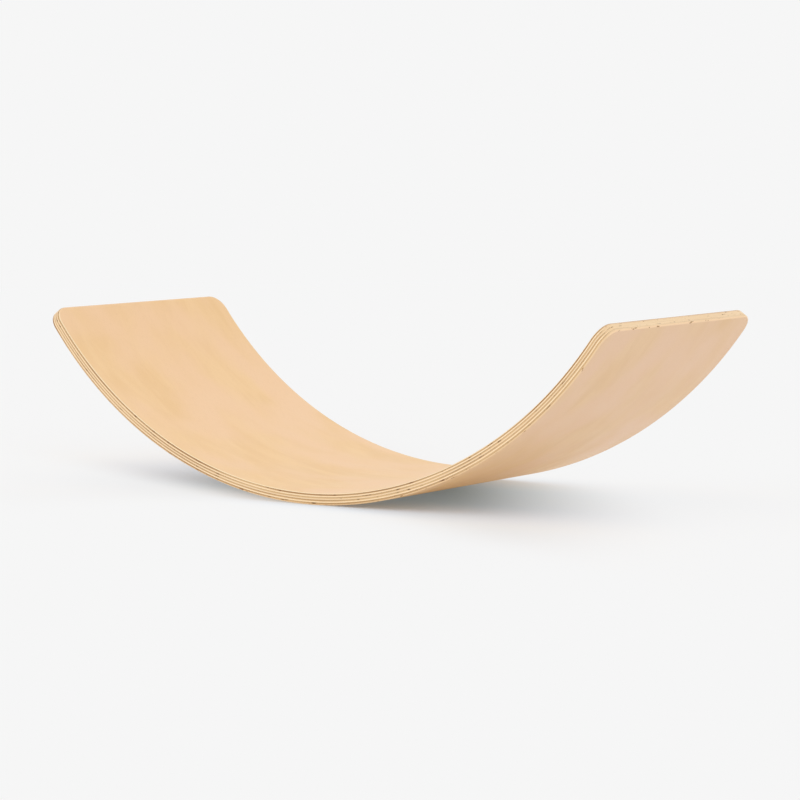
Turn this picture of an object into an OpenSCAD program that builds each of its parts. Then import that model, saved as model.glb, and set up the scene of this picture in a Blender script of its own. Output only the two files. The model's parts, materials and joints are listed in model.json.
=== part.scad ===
/* [Board] */
// Width of the board
board_w = 300; // [200:5:400]
// Height of the two ends above the floor
board_h = 203; // [120:1:300]
// Slope of the sheet at its ends, half of the angle that its arc spans
end_angle = 55.4; // [30:0.1:75]
// Radius of the four corners
corner_r = 20; // [5:1:60]

/* [Veneers] */
// Number of veneers with the grain across the board
cross_count = 4; // [2:1:8]
// Thickness of the two face veneers
face_veneer_t = 1.2; // [0.6:0.05:3]
// Thickness of an inner veneer with the grain along the board
long_veneer_t = 1.4; // [0.6:0.05:3]
// Thickness of a veneer with the grain across the board
cross_veneer_t = 1.2; // [0.6:0.05:3]
// Thickness of a glue line
glue_t = 0.2; // [0.2:0.05:0.5]

/* [Hidden] */
// Veneers between the faces alternate, so one long veneer lies between each two cross veneers
long_count = cross_count - 1;
glue_count = 2 * cross_count;

// Heights are measured square to the sheet, from its underside
repeat_t = cross_veneer_t + long_veneer_t + 2 * glue_t;
function cross_base(n) = face_veneer_t + glue_t + (n - 1) * repeat_t;
function cross_top(n) = cross_base(n) + cross_veneer_t;
function long_base(n) = cross_top(n) + glue_t;
// Odd glue lines lie under a cross veneer, even ones lie on it
function glue_base(n) = n % 2 == 1 ? cross_base((n + 1) / 2) - glue_t : cross_top(n / 2);
seat_base = cross_top(cross_count) + glue_t;
board_t = seat_base + face_veneer_t;

// The underside is an arc that touches the floor at the origin and lifts the ends to board_h
under_r = (board_h - board_t * cos(end_angle)) / (1 - cos(end_angle));
// How far a cut runs past what it cuts
overrun = 5;
// Half of the space that an end's outline is cut from, which holds the whole arc
reach = under_r + overrun;

face_colour = "wheat";
long_colour = "navajowhite";
cross_colour = "burlywood";
glue_colour = "saddlebrown";

$fn = 360;

// Flat outline of one end, which lies at x = 0 with its two corners rounded
module end_outline() {
    translate([-reach, -board_w / 2])
        square([reach - corner_r, board_w]);
    translate([-reach, corner_r - board_w / 2])
        square([reach, board_w - 2 * corner_r]);
    for (side = [-1, 1])
        translate([-corner_r, side * (board_w / 2 - corner_r)])
            circle(corner_r);
}

// Space inside one end's outline, cut square to the sheet at that end
module end_trim() {
    translate([0, 0, under_r])
        rotate([0, -end_angle, 0])
            linear_extrude(height = 2 * reach, center = true)
                end_outline();
}

// One bent layer, with its underside at a height in the stack
module layer(base, thickness) {
    outer_r = under_r - base;
    intersection() {
        translate([0, 0, under_r])
            rotate([90, 0, 0])
                linear_extrude(height = board_w + 2 * overrun, center = true)
                    difference() {
                        circle(outer_r);
                        circle(outer_r - thickness);
                    }
        end_trim();
        mirror([1, 0, 0])
            end_trim();
    }
}

module under_face_veneer() {
    color(face_colour)
        layer(0, face_veneer_t);
}

module seat_face_veneer() {
    color(face_colour)
        layer(seat_base, face_veneer_t);
}

module cross_veneer(n) {
    color(cross_colour)
        layer(cross_base(n), cross_veneer_t);
}

module long_veneer(n) {
    color(long_colour)
        layer(long_base(n), long_veneer_t);
}

module glue_line(n) {
    color(glue_colour)
        layer(glue_base(n), glue_t);
}

under_face_veneer();
seat_face_veneer();
for (n = [1:cross_count])
    cross_veneer(n);
for (n = [1:long_count])
    long_veneer(n);
for (n = [1:glue_count])
    glue_line(n);
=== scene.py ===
import json
import math

import bmesh
import bpy
from mathutils import Color, Matrix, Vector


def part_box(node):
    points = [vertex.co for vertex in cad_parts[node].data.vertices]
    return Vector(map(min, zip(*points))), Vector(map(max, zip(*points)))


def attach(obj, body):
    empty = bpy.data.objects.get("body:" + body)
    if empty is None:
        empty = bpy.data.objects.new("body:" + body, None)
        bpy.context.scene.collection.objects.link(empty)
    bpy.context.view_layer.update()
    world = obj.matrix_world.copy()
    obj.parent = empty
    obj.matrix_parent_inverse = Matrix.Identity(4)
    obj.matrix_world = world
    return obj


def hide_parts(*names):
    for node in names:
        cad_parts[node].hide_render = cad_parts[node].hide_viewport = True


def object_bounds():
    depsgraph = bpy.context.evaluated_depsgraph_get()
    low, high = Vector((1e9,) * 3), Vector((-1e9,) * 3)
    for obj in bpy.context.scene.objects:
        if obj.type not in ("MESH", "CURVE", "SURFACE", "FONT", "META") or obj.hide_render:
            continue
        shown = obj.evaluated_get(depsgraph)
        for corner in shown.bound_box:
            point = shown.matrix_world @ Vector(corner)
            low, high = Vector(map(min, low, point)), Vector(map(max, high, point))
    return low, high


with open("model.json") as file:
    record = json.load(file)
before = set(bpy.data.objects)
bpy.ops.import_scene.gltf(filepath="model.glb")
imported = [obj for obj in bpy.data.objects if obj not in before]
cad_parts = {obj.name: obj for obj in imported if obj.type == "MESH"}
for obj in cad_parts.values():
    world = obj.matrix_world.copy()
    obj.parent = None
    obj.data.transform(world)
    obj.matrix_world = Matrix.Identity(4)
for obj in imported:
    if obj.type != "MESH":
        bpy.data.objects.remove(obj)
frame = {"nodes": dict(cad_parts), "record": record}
cadLow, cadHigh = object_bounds()
print("frame:", len(frame["nodes"]), "layers in the stack")

scene = bpy.context.scene
scene.view_settings.view_transform = "Standard"


# camera: the board from its front right, a little above the floor

cameraView = {
    "middle": (0.0121, 0.0, 0.1012),  # point that the picture is centred on
    "distance": 3.209,
    "azimuth": 35.42,  # degrees round from the front
    "elevation": 4.94,
    "roll": -0.66,
    "lens": 130.75,  # mm, on a sensor 36 mm wide
    "sensor": 36.0,
}


def addCamera():
    data = bpy.data.cameras.new("camera")
    data.lens = cameraView["lens"]
    data.sensor_width = cameraView["sensor"]
    camera = bpy.data.objects.new("camera", data)
    scene.collection.objects.link(camera)
    camera.matrix_world = (
        Matrix.Translation(cameraView["middle"])
        @ Matrix.Rotation(math.radians(cameraView["azimuth"]), 4, "Z")
        @ Matrix.Rotation(math.radians(90 - cameraView["elevation"]), 4, "X")
        @ Matrix.Rotation(math.radians(cameraView["roll"]), 4, "Z")
        @ Matrix.Translation((0, 0, cameraView["distance"]))
    )
    scene.camera = camera


addCamera()
print("camera placed")


# shader tools

def tone(red, green, blue):  # colour as a paint card gives it, 0 to 255
    return (*Color((red / 255, green / 255, blue / 255)).from_srgb_to_scene_linear(), 1.0)


def addNode(tree, kind, inputs=None, **options):
    made = tree.nodes.new("ShaderNode" + kind)
    for name, value in options.items():
        setattr(made, name, value)
    for name, value in (inputs or {}).items():
        if isinstance(value, bpy.types.NodeSocket):
            tree.links.new(value, made.inputs[name])
        else:
            made.inputs[name].default_value = value
    return made


def addMath(tree, operation, first, second=0.0, third=0.0):
    return addNode(tree, "Math", {0: first, 1: second, 2: third}, operation=operation).outputs[0]


def stretch(tree, place, scale):  # the same place measured in cells of a pattern
    return addNode(tree, "Mapping", {"Vector": place, "Scale": scale}).outputs["Vector"]


def ramp(tree, value, low, high, bottom=0.0, top=1.0):  # smooth step between two levels
    made = addNode(
        tree, "MapRange",
        {"Value": value, "From Min": low, "From Max": high, "To Min": bottom, "To Max": top},
        interpolation_type="SMOOTHSTEP",
    )
    return made.outputs["Result"]


def blendTones(tree, share, first, second):
    made = addNode(
        tree, "Mix", {0: share, 6: first, 7: second}, data_type="RGBA", clamp_factor=True
    )
    return made.outputs[2]


def newGroup(name, inputs, outputs):
    tree = bpy.data.node_groups.new(name, "ShaderNodeTree")
    for label, kind, value in inputs:
        socket = tree.interface.new_socket(label, in_out="INPUT", socket_type="NodeSocket" + kind)
        socket.default_value = value
    for label, kind in outputs:
        tree.interface.new_socket(label, in_out="OUTPUT", socket_type="NodeSocket" + kind)
    return tree, tree.nodes.new("NodeGroupInput").outputs, tree.nodes.new("NodeGroupOutput").inputs


def useGroup(tree, group, inputs):
    return addNode(tree, "Group", inputs, node_tree=group).outputs


# board: sizes of the flat sheet and of its press, from the frame

board = {
    "endAngle": 55.4,  # degrees of slope at each end
    "cornerRadius": 0.020,
    "cornerSteps": 16,
    "seatRound": 0.003,  # round-over sanded along the edges of the seat
    "underRound": 0.002,  # the edges of the underside are only broken
    "roundSteps": 6,
    "rimAngle": 80.0,  # degrees, edges sharper than this are rounded over
    "faceMargin": 0.002,  # loop that keeps the faces flat up to the round-over
    "levelNormal": 0.999,  # least upright part of the normal of a flat face
    "bendSteps": 150,
    "cutTolerance": 1e-7,
    "sharpAngle": 40.0,  # degrees, smooth shading stops at edges sharper than this
}

endTurn = math.radians(board["endAngle"])
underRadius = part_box("under_face_veneer")[1].x / math.sin(endTurn)
seatRadius = (underRadius - cadHigh.z) / math.cos(endTurn)
middleRadius = (underRadius + seatRadius) / 2
sheetWidth = cadHigh.y - cadLow.y
sheetThickness = underRadius - seatRadius
sheetLength = 2 * endTurn * middleRadius


def layerBase(name):  # height of a layer's underside in the flat stack
    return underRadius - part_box(name)[1].x / math.sin(endTurn)


# wood effects that the veneers share, on the sheet as it lay flat
# cells are per metre along, across and through it, and a mask runs between two levels of its noise

def noiseMask(tree, place, pattern, bottom=0.0, top=1.0):
    noise = addNode(
        tree, "TexNoise",
        {
            "Vector": stretch(tree, place, pattern["cells"]), "Scale": 1.0,
            "Detail": pattern["detail"], "Distortion": pattern.get("distortion", 0.0),
        },
    )
    return ramp(tree, noise.outputs["Fac"], *pattern["between"], bottom, top)


grainPattern = {
    "Figure": {"cells": (13, 42, 42), "detail": 3.0, "between": (0.3, 0.7), "distortion": 0.7},
    "Blush": {"cells": (9, 14, 14), "detail": 2.0, "between": (0.35, 0.65)},
    "Fibre": {"cells": (50, 1500, 1500), "detail": 3.0, "between": (0.25, 0.75)},
    "Pores": {"cells": (240, 4200, 4200), "detail": 1.0, "between": (0.6, 0.72)},
}
fleckPattern = {"cells": (5, 11, 0), "between": (0.006, 0.012)}  # rare small spots


def makeGrainGroup():
    tree, given, result = newGroup(
        "grain",
        [("Place", "Vector", (0, 0, 0))],
        [(name, "Float") for name in (*grainPattern, "Fleck")],
    )
    for name, pattern in grainPattern.items():
        tree.links.new(noiseMask(tree, given["Place"], pattern), result[name])
    cells = stretch(tree, given["Place"], fleckPattern["cells"])
    spots = addNode(tree, "TexVoronoi", {"Vector": cells, "Scale": 1.0}).outputs["Distance"]
    tree.links.new(ramp(tree, spots, *fleckPattern["between"], 1.0, 0.0), result["Fleck"])
    return tree


edgePattern = {
    "rim": (0.0, 0.4),  # share of the band over which the sawn wood sets in
    "endward": (0.15, 0.85),  # round a corner, from long edge to end
    "leastReach": 1e-9,  # no division by zero away from the edges
}


def makeEdgeGroup():
    tree, given, result = newGroup(
        "trimmedEdge",
        [("Place", "Vector", (0, 0, 0)), ("Band", "Float", board["seatRound"])],
        [("Rim", "Float"), ("Endward", "Float")],
    )
    radius = board["cornerRadius"]
    axes = addNode(tree, "SeparateXYZ", {"Vector": given["Place"]}).outputs
    reach = []
    for axis, half in (("X", sheetLength / 2), ("Y", sheetWidth / 2)):
        out = addMath(tree, "SUBTRACT", addMath(tree, "ABSOLUTE", axes[axis]), half - radius)
        reach.append(addMath(tree, "POWER", addMath(tree, "MAXIMUM", out, 0.0), 2.0))
    total = addMath(tree, "ADD", reach[0], reach[1])
    inward = addMath(tree, "SUBTRACT", radius, addMath(tree, "SQRT", total))
    rim = addMath(tree, "SUBTRACT", 1.0, addMath(tree, "DIVIDE", inward, given["Band"]))
    tree.links.new(ramp(tree, rim, *edgePattern["rim"]), result["Rim"])
    whole = addMath(tree, "MAXIMUM", total, edgePattern["leastReach"])
    endward = addMath(tree, "DIVIDE", reach[0], whole)
    tree.links.new(ramp(tree, endward, *edgePattern["endward"]), result["Endward"])
    return tree


splitPattern = {  # small gaps and torn fibres, and a slow drift of tone
    "Split": {"cells": (105, 105, 420), "detail": 2.0, "between": (0.60, 0.71)},
    "Shade": {"cells": (9, 9, 330), "detail": 2.0, "between": (0.3, 0.7)},
}


def makeSplitGroup():
    tree, given, result = newGroup(
        "splits", [("Place", "Vector", (0, 0, 0))], [(name, "Float") for name in splitPattern]
    )
    for name, pattern in splitPattern.items():
        tree.links.new(noiseMask(tree, given["Place"], pattern), result[name])
    return tree


lacquerPattern = {
    "haze": {"cells": (30, 30, 30), "detail": 2.0, "between": (0.3, 0.7)},
    "roughness": (0.40, 0.48),
    "grainRoughness": 0.05,
}


def makeLacquerGroup():
    tree, given, result = newGroup(
        "lacquer",
        [("Place", "Vector", (0, 0, 0)), ("Grain", "Float", 0.5)],
        [("Roughness", "Float"), ("Height", "Float")],
    )
    satin = noiseMask(tree, given["Place"], lacquerPattern["haze"], *lacquerPattern["roughness"])
    rough = addMath(tree, "MULTIPLY_ADD", given["Grain"], lacquerPattern["grainRoughness"], satin)
    tree.links.new(rough, result["Roughness"])
    tree.links.new(addMath(tree, "MULTIPLY", given["Grain"], -1.0), result["Height"])
    return tree


grainGroup = makeGrainGroup()
edgeGroup = makeEdgeGroup()
splitGroup = makeSplitGroup()
lacquerGroup = makeLacquerGroup()
print("wood effects made")


# finishes

woodFinish = {
    "specular": 0.25,  # rubbed down to a low sheen
    "drift": (0.9, 0.55),  # how far a layer's darkness drifts along its edge, and the least of it
}


def newMaterial(name):
    material = bpy.data.materials.new(name)
    material.use_nodes = True
    tree = material.node_tree
    tree.nodes.clear()
    surface = addNode(tree, "BsdfPrincipled")
    output = addNode(tree, "OutputMaterial")
    tree.links.new(surface.outputs["BSDF"], output.inputs["Surface"])
    place = addNode(tree, "Attribute", attribute_name="flatPlace").outputs["Vector"]
    return material, tree, surface, place


def edgeShade(tree, place, edge, split):  # darkness of a layer at its trimmed edge, and a painted shade that grows toward the left end
    shade = addNode(tree, "Attribute", attribute_name="layerShade").outputs["Vector"]
    given = addNode(tree, "SeparateXYZ", {"Vector": shade}).outputs
    cut = addNode(tree, "Mix", {0: edge["Endward"], 2: given["X"], 3: given["Y"]}).outputs[0]
    # painted shade: the darkness grows toward the left end by the third number of layerShade, where
    # the lower edge is turned from the light
    along = addNode(tree, "SeparateXYZ", {"Vector": place}).outputs["X"]
    left = addMath(tree, "MULTIPLY", along, -2 / sheetLength)
    leftShade = addMath(tree, "MULTIPLY_ADD", left, given["Z"], 1.0)
    here = addMath(tree, "MULTIPLY", cut, addMath(tree, "MAXIMUM", leftShade, 0.0))
    drift = addMath(tree, "MULTIPLY_ADD", split["Shade"], *woodFinish["drift"])
    return addMath(tree, "MULTIPLY", here, drift)


def finishWood(tree, surface, place, colour, grain, bump):
    lacquer = useGroup(tree, lacquerGroup, {"Place": place, "Grain": grain})
    relief = addNode(
        tree, "Bump", {"Height": lacquer["Height"], "Strength": 1.0, "Distance": bump}
    )
    tree.links.new(colour, surface.inputs["Base Color"])
    tree.links.new(lacquer["Roughness"], surface.inputs["Roughness"])
    tree.links.new(relief.outputs["Normal"], surface.inputs["Normal"])
    surface.inputs["Specular IOR Level"].default_value = woodFinish["specular"]


faceFinish = {
    "deep": tone(241, 202, 151),
    "pale": tone(246, 209, 160),
    "blush": tone(246, 208, 167),
    "underShadeTone": tone(244, 244, 254),  # painted shade: the underside's face is tinted darker, as the side turned to the floor
    "pore": tone(220, 180, 134),
    "fleck": tone(176, 134, 92),
    "seatSide": tone(255, 232, 194),
    "seatEnd": tone(240, 203, 155),
    # painted shade darkens the underside's sawn rim along the long edges, and a painted highlight
    # brightens it at the ends
    "underSideShaded": tone(243, 210, 169),
    "underEndHighlight": tone(254, 219, 178),
    "dark": tone(150, 94, 38),
    "chip": tone(166, 122, 76),
    "seatRim": 0.0018,  # metres in from the edge where the sawn wood ends
    "underRim": 0.002,
    "poreShare": 0.35,
    "fleckShare": 0.6,
    "bump": 0.00004,
}


def makeFaceVeneer():
    material, tree, surface, place = newMaterial("faceVeneer")
    grain = useGroup(tree, grainGroup, {"Place": place})
    height = addNode(tree, "SeparateXYZ", {"Vector": place}).outputs["Z"]
    under = addMath(tree, "LESS_THAN", height, sheetThickness / 2)
    band = ramp(tree, under, 0.0, 1.0, faceFinish["seatRim"], faceFinish["underRim"])
    edge = useGroup(tree, edgeGroup, {"Place": place, "Band": band})
    straw = blendTones(tree, grain["Figure"], faceFinish["deep"], faceFinish["pale"])
    figure = blendTones(tree, grain["Blush"], straw, faceFinish["blush"])
    pores = addMath(tree, "MULTIPLY", grain["Pores"], faceFinish["poreShare"])
    flecks = addMath(tree, "MULTIPLY", grain["Fleck"], faceFinish["fleckShare"])
    pored = blendTones(tree, pores, figure, faceFinish["pore"])
    grown = blendTones(tree, flecks, pored, faceFinish["fleck"])
    # painted shade on the underside's face
    shaded = addNode(
        tree, "Mix", {0: under, 6: grown, 7: faceFinish["underShadeTone"]},
        data_type="RGBA", blend_type="MULTIPLY",
    ).outputs[2]
    # the underside's sawn rim, with painted shade along its sides and a painted highlight at its
    # ends
    sawnSide = blendTones(tree, under, faceFinish["seatSide"], faceFinish["underSideShaded"])
    sawnEnd = blendTones(tree, under, faceFinish["seatEnd"], faceFinish["underEndHighlight"])
    sawn = blendTones(tree, edge["Endward"], sawnSide, sawnEnd)
    split = useGroup(tree, splitGroup, {"Place": place})
    # painted shade: the underside's rim darkens toward the left end
    shadedSawn = blendTones(tree, edgeShade(tree, place, edge, split), sawn, faceFinish["dark"])
    chips = addMath(tree, "MULTIPLY", split["Split"], under)
    chipped = blendTones(tree, chips, shadedSawn, faceFinish["chip"])
    colour = blendTones(tree, edge["Rim"], shaded, chipped)
    finishWood(tree, surface, place, colour, grain["Fibre"], faceFinish["bump"])
    return material


longFinish = {
    "side": tone(255, 229, 190),
    "sideDeep": tone(250, 218, 177),
    "end": tone(250, 219, 177),
    "endDeep": tone(240, 206, 162),
    "dark": tone(150, 94, 38),
    "split": tone(150, 110, 68),
    "bump": 0.00005,
}


def makeLongVeneer():
    material, tree, surface, place = newMaterial("longVeneer")
    grain = useGroup(tree, grainGroup, {"Place": place})
    edge = useGroup(tree, edgeGroup, {"Place": place})
    split = useGroup(tree, splitGroup, {"Place": place})
    side = blendTones(tree, grain["Fibre"], longFinish["side"], longFinish["sideDeep"])
    end = blendTones(tree, split["Shade"], longFinish["end"], longFinish["endDeep"])
    torn = blendTones(tree, split["Split"], end, longFinish["split"])
    sawn = blendTones(tree, edge["Endward"], side, torn)
    colour = blendTones(tree, edgeShade(tree, place, edge, split), sawn, longFinish["dark"])
    finishWood(tree, surface, place, colour, grain["Fibre"], longFinish["bump"])
    return material


crossFinish = {
    "end": tone(240, 203, 152),
    "side": tone(252, 223, 183),
    "sideDeep": tone(245, 213, 170),
    "dark": tone(150, 94, 38),
    "split": tone(88, 56, 30),
    "bump": 0.00008,
}


def makeCrossVeneer():
    material, tree, surface, place = newMaterial("crossVeneer")
    turned = addNode(tree, "Mapping", {"Vector": place, "Rotation": (0, 0, math.radians(90))})
    grain = useGroup(tree, grainGroup, {"Place": turned.outputs["Vector"]})
    edge = useGroup(tree, edgeGroup, {"Place": place})
    split = useGroup(tree, splitGroup, {"Place": place})
    torn = blendTones(tree, split["Split"], crossFinish["end"], crossFinish["split"])
    side = blendTones(tree, grain["Fibre"], crossFinish["side"], crossFinish["sideDeep"])
    sawn = blendTones(tree, edge["Endward"], torn, side)
    # dark plies, and toward the left a painted shade that grows at the lower plies
    colour = blendTones(tree, edgeShade(tree, place, edge, split), sawn, crossFinish["dark"])
    finishWood(tree, surface, place, colour, grain["Fibre"], crossFinish["bump"])
    return material


glueFinish = {
    "pale": tone(236, 200, 152),
    "dark": tone(104, 62, 24),
    "roughness": 0.5,
}


def makeGlue():
    material, tree, surface, place = newMaterial("glueLine")
    edge = useGroup(tree, edgeGroup, {"Place": place})
    split = useGroup(tree, splitGroup, {"Place": place})
    # dark glue lines, and toward the left a painted shade that grows at the lower ones
    shade = edgeShade(tree, place, edge, split)
    colour = blendTones(tree, shade, glueFinish["pale"], glueFinish["dark"])
    tree.links.new(colour, surface.inputs["Base Color"])
    surface.inputs["Roughness"].default_value = glueFinish["roughness"]
    return material


finishes = {
    "face_veneer": makeFaceVeneer(),
    "long_veneer": makeLongVeneer(),
    "cross_veneer": makeCrossVeneer(),
    "glue": makeGlue(),
}
print("finishes made:", ", ".join(finishes))


# layers: one rounded slab, cut into its veneers and glue lines, then bent

def everything(bm):
    return bm.verts[:] + bm.edges[:] + bm.faces[:]


def isLevel(edge):
    return abs(edge.verts[0].co.z - edge.verts[1].co.z) < sheetThickness / 2


def makeSlab():
    bm = bmesh.new()
    bmesh.ops.create_cube(bm, size=1.0)
    bmesh.ops.scale(bm, vec=(sheetLength, sheetWidth, sheetThickness), verts=bm.verts)
    bmesh.ops.translate(bm, vec=(0, 0, sheetThickness / 2), verts=bm.verts)
    corners = [edge for edge in bm.edges if not isLevel(edge)]
    bmesh.ops.bevel(
        bm, geom=corners, offset=board["cornerRadius"], segments=board["cornerSteps"],
        affect="EDGES", profile=0.5, material=-1,
    )
    sharp = math.radians(board["rimAngle"])
    for size, isSeat in ((board["seatRound"], True), (board["underRound"], False)):
        level = [edge for edge in bm.edges if isLevel(edge) and len(edge.link_faces) == 2]
        rims = [
            edge for edge in level
            if (edge.verts[0].co.z > sheetThickness / 2) == isSeat
            and edge.calc_face_angle() > sharp
        ]
        bmesh.ops.bevel(
            bm, geom=rims, offset=size, segments=board["roundSteps"],
            affect="EDGES", profile=0.5, material=-1,
        )
    faces = [face for face in bm.faces if abs(face.normal.z) > board["levelNormal"]]
    bmesh.ops.inset_individual(bm, faces=faces, thickness=board["faceMargin"])
    return bm


def cutLayer(slab, base, top):
    bm = slab.copy()
    for height, keepAbove in ((base, True), (top, False)):
        if 0 < height < sheetThickness:
            cut = bmesh.ops.bisect_plane(
                bm, geom=everything(bm), dist=board["cutTolerance"],
                plane_co=(0, 0, height), plane_no=(0, 0, 1),
                clear_inner=keepAbove, clear_outer=not keepAbove,
            )
            loop = [part for part in cut["geom_cut"] if isinstance(part, bmesh.types.BMEdge)]
            bmesh.ops.holes_fill(bm, edges=loop, sides=0)
    bmesh.ops.recalc_face_normals(bm, faces=bm.faces)
    return bm


def bendLayer(bm, shade):
    for step in range(1, board["bendSteps"]):
        along = sheetLength * (step / board["bendSteps"] - 0.5)
        bmesh.ops.bisect_plane(
            bm, geom=everything(bm), dist=board["cutTolerance"],
            plane_co=(along, 0, 0), plane_no=(1, 0, 0),
        )
    flatPlace = bm.verts.layers.float_vector.new("flatPlace")
    darkness = bm.verts.layers.float_vector.new("layerShade")
    for vert in bm.verts:
        vert[flatPlace] = vert.co
        vert[darkness] = shade
        turn = vert.co.x / middleRadius
        radius = underRadius - vert.co.z
        vert.co = (radius * math.sin(turn), vert.co.y, underRadius - radius * math.cos(turn))


def addLayer(bm, name, slot):
    mesh = bpy.data.meshes.new("bent_" + name)
    for face in bm.faces:
        face.smooth = True
    bm.to_mesh(mesh)
    mesh.set_sharp_from_angle(angle=math.radians(board["sharpAngle"]))
    mesh.materials.append(finishes[slot])
    piece = bpy.data.objects.new("bent_" + name, mesh)
    scene.collection.objects.link(piece)
    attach(piece, "root")
    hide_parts(name)


layerShade = {  # darkness at a long edge, at an end, and a painted shade that grows toward the left end, most at the lower layers
    "seat_face_veneer": (0.0, 0.0, 0.0),
    "glue_line_8": (1.0, 0.9, 0.0),
    "cross_veneer_4": (0.56, 0.42, 0.0),
    "glue_line_7": (0.35, 0.1, 0.0),
    "long_veneer_3": (0.0, 0.0, 0.0),
    "glue_line_6": (0.9, 0.2, 0.1),
    "cross_veneer_3": (0.42, 0.04, 0.2),
    "glue_line_5": (0.2, 0.05, 0.2),
    "long_veneer_2": (0.10, 0.0, 0.0),
    "glue_line_4": (0.85, 0.2, 0.1),
    "cross_veneer_2": (0.38, 0.04, 0.1),
    "glue_line_3": (0.2, 0.05, 0.1),
    "long_veneer_1": (0.0, 0.0, 0.0),
    "glue_line_2": (0.85, 0.7, 0.3),
    "cross_veneer_1": (0.43, 0.20, 0.45),
    "glue_line_1": (0.4, 0.1, 0.5),
    "under_face_veneer": (0.06, 0.0, 3.5),
}


def makeLayers():
    slots = {part["node"]: part["material_slot"] for part in frame["record"]["subparts"]}
    stack = sorted(frame["nodes"], key=layerBase)
    heights = [layerBase(name) for name in stack] + [sheetThickness]
    slab = makeSlab()
    for name, base, top in zip(stack, heights, heights[1:]):
        bm = cutLayer(slab, base, top)
        bendLayer(bm, layerShade[name])
        addLayer(bm, name, slots[name])
        bm.free()
    slab.free()
    print("layers bent:", len(stack))


makeLayers()


# floor and light

studio = {
    "floorSize": 30.0,
    "floorSteps": 64,
    "floorColour": (0.9235, 0.9235, 0.9235, 1.0),
    "backdrop": (0.922, 0.922, 0.922, 1.0),
    "fadeStart": 1.6,  # metres from the board where the floor starts to join the backdrop
    "fadeEnd": 5.0,
    "shadeBorders": (  # ways out of the shadow, and the metres between which it pales
        {"way": (0.734, 0.679, 0.0), "reach": (0.047, 0.276)},
        {"way": (-0.393, -0.920, 0.0), "reach": (0.109, 0.202)},
    ),
    "shadeSeen": (0.107, (0.859, 0.833)),  # share filled in within the borders and past each
    "shadeLit": (0.18, (0.85, 0.85)),  # the same for the light that the floor throws back
    "shadeColour": (0.357, 0.613, 0.949, 1.0),  # cools the warm light from the wood above, and seen straight on is a painted shadow darker than the floor
    "bounceColour": (0.94, 0.92, 0.48, 1.0),  # what the floor there throws back
    "shadeLength": (0.0, 0.567),  # metres from the middle between which the colour fades out
    "shadeWidth": (0.05, 0.21),
    "skyColour": (1.0, 1.0, 1.0, 1.0),
    "sky": 0.79,
    "front": 0.5,  # how much brighter the sky is in front than overhead
    "sun": 0.5,
    "sunSpread": 40.0,  # degrees
    "sunTilt": (50.0, 0.0, 184.0),
}


def seenRays(tree):  # rays that show the background: straight, mirrored or through glass
    ray = addNode(tree, "LightPath").outputs
    bent = addMath(tree, "MAXIMUM", ray["Is Glossy Ray"], ray["Is Transmission Ray"])
    return addMath(tree, "MAXIMUM", ray["Is Camera Ray"], bent)


def shadowFill(tree, place, within, past):  # how far the floor's own glow fills the shadow in
    shares = []
    for border, share in zip(studio["shadeBorders"], past):
        out = addNode(tree, "VectorMath", {0: place, 1: border["way"]}, operation="DOT_PRODUCT")
        shares.append(ramp(tree, out.outputs["Value"], *border["reach"], within, share))
    return addMath(tree, "MAXIMUM", *shares)


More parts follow.
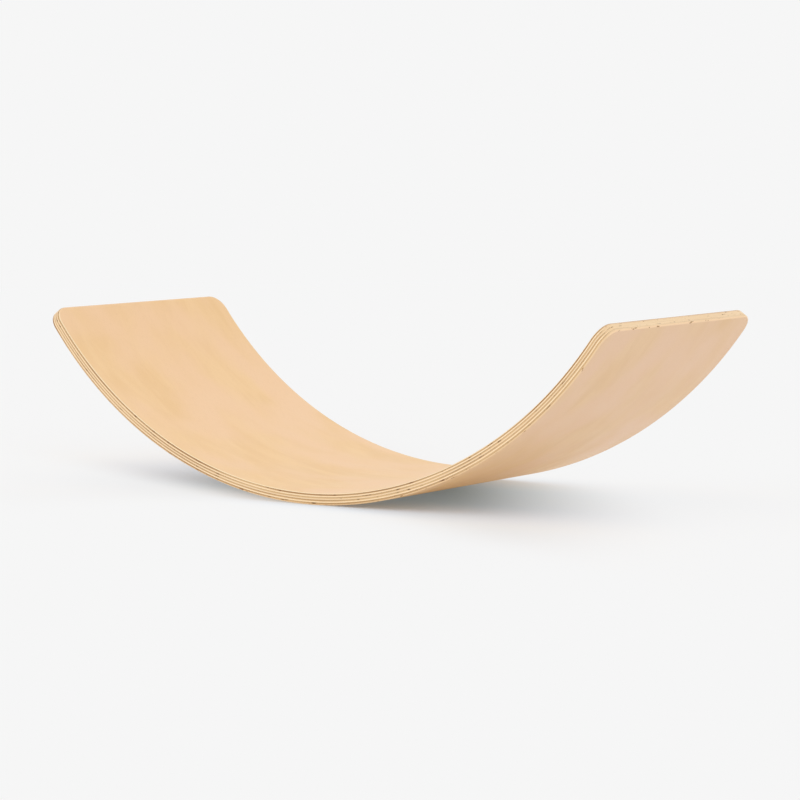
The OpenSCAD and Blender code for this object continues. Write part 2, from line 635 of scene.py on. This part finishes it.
def addFloor():
    bm = bmesh.new()
    bmesh.ops.create_circle(
        bm, cap_ends=True, segments=studio["floorSteps"], radius=studio["floorSize"] / 2
    )
    mesh = bpy.data.meshes.new("floor")
    bm.to_mesh(mesh)
    bm.free()
    material = bpy.data.materials.new("floorPaper")
    material.use_nodes = True
    tree = material.node_tree
    tree.nodes.clear()
    place = addNode(tree, "TexCoord").outputs["Object"]
    axes = addNode(tree, "SeparateXYZ", {"Vector": place}).outputs
    along = ramp(tree, addMath(tree, "ABSOLUTE", axes["X"]), *studio["shadeLength"], 1.0, 0.0)
    aside = ramp(tree, addMath(tree, "ABSOLUTE", axes["Y"]), *studio["shadeWidth"], 1.0, 0.0)
    under = addMath(tree, "MULTIPLY", along, aside)
    # painted shadow: seen straight on, the floor under the board takes a darker, cooler colour
    straight = addNode(tree, "LightPath").outputs["Is Camera Ray"]
    shadowTint = blendTones(tree, straight, studio["bounceColour"], studio["shadeColour"])
    colour = blendTones(tree, under, studio["floorColour"], shadowTint)
    paper = addNode(tree, "BsdfDiffuse", {"Color": colour})
    glow = addNode(tree, "Emission", {"Color": studio["backdrop"], "Strength": 1.0})
    lit = shadowFill(tree, place, *studio["shadeLit"])
    seen = shadowFill(tree, place, *studio["shadeSeen"])
    lift = addNode(tree, "Mix", {0: seenRays(tree), 2: lit, 3: seen}).outputs[0]
    away = addNode(tree, "VectorMath", {0: place}, operation="LENGTH").outputs["Value"]
    share = addMath(tree, "MAXIMUM", lift, ramp(tree, away, studio["fadeStart"], studio["fadeEnd"]))
    joined = addNode(
        tree, "MixShader", {0: share, 1: paper.outputs["BSDF"], 2: glow.outputs["Emission"]}
    )
    addNode(tree, "OutputMaterial", {"Surface": joined.outputs["Shader"]})
    mesh.materials.append(material)
    floor = bpy.data.objects.new("floor", mesh)
    scene.collection.objects.link(floor)


def addLight():
    world = bpy.data.worlds.new("studio")
    scene.world = world
    world.use_nodes = True
    tree = world.node_tree
    tree.nodes.clear()
    way = addNode(tree, "TexCoord").outputs["Generated"]
    depth = addNode(tree, "SeparateXYZ", {"Vector": way}).outputs["Y"]
    forward = addMath(tree, "MAXIMUM", addMath(tree, "MULTIPLY", depth, -1.0), 0.0)
    strength = addMath(tree, "MULTIPLY_ADD", forward, studio["front"], studio["sky"])
    sky = addNode(tree, "Background", {"Color": studio["skyColour"], "Strength": strength})
    backdrop = addNode(tree, "Background", {"Color": studio["backdrop"], "Strength": 1.0})
    joined = addNode(
        tree, "MixShader",
        {0: seenRays(tree), 1: sky.outputs["Background"], 2: backdrop.outputs["Background"]},
    )
    addNode(tree, "OutputWorld", {"Surface": joined.outputs["Shader"]})
    lamp = bpy.data.lights.new("sun", "SUN")
    lamp.energy = studio["sun"]
    lamp.angle = math.radians(studio["sunSpread"])
    sun = bpy.data.objects.new("sun", lamp)
    sun.rotation_euler = [math.radians(angle) for angle in studio["sunTilt"]]
    sun.visible_glossy = False  # no hot spot on the lacquer
    scene.collection.objects.link(sun)


addFloor()
addLight()
print("floor and light placed")

bpy.context.view_layer.update()
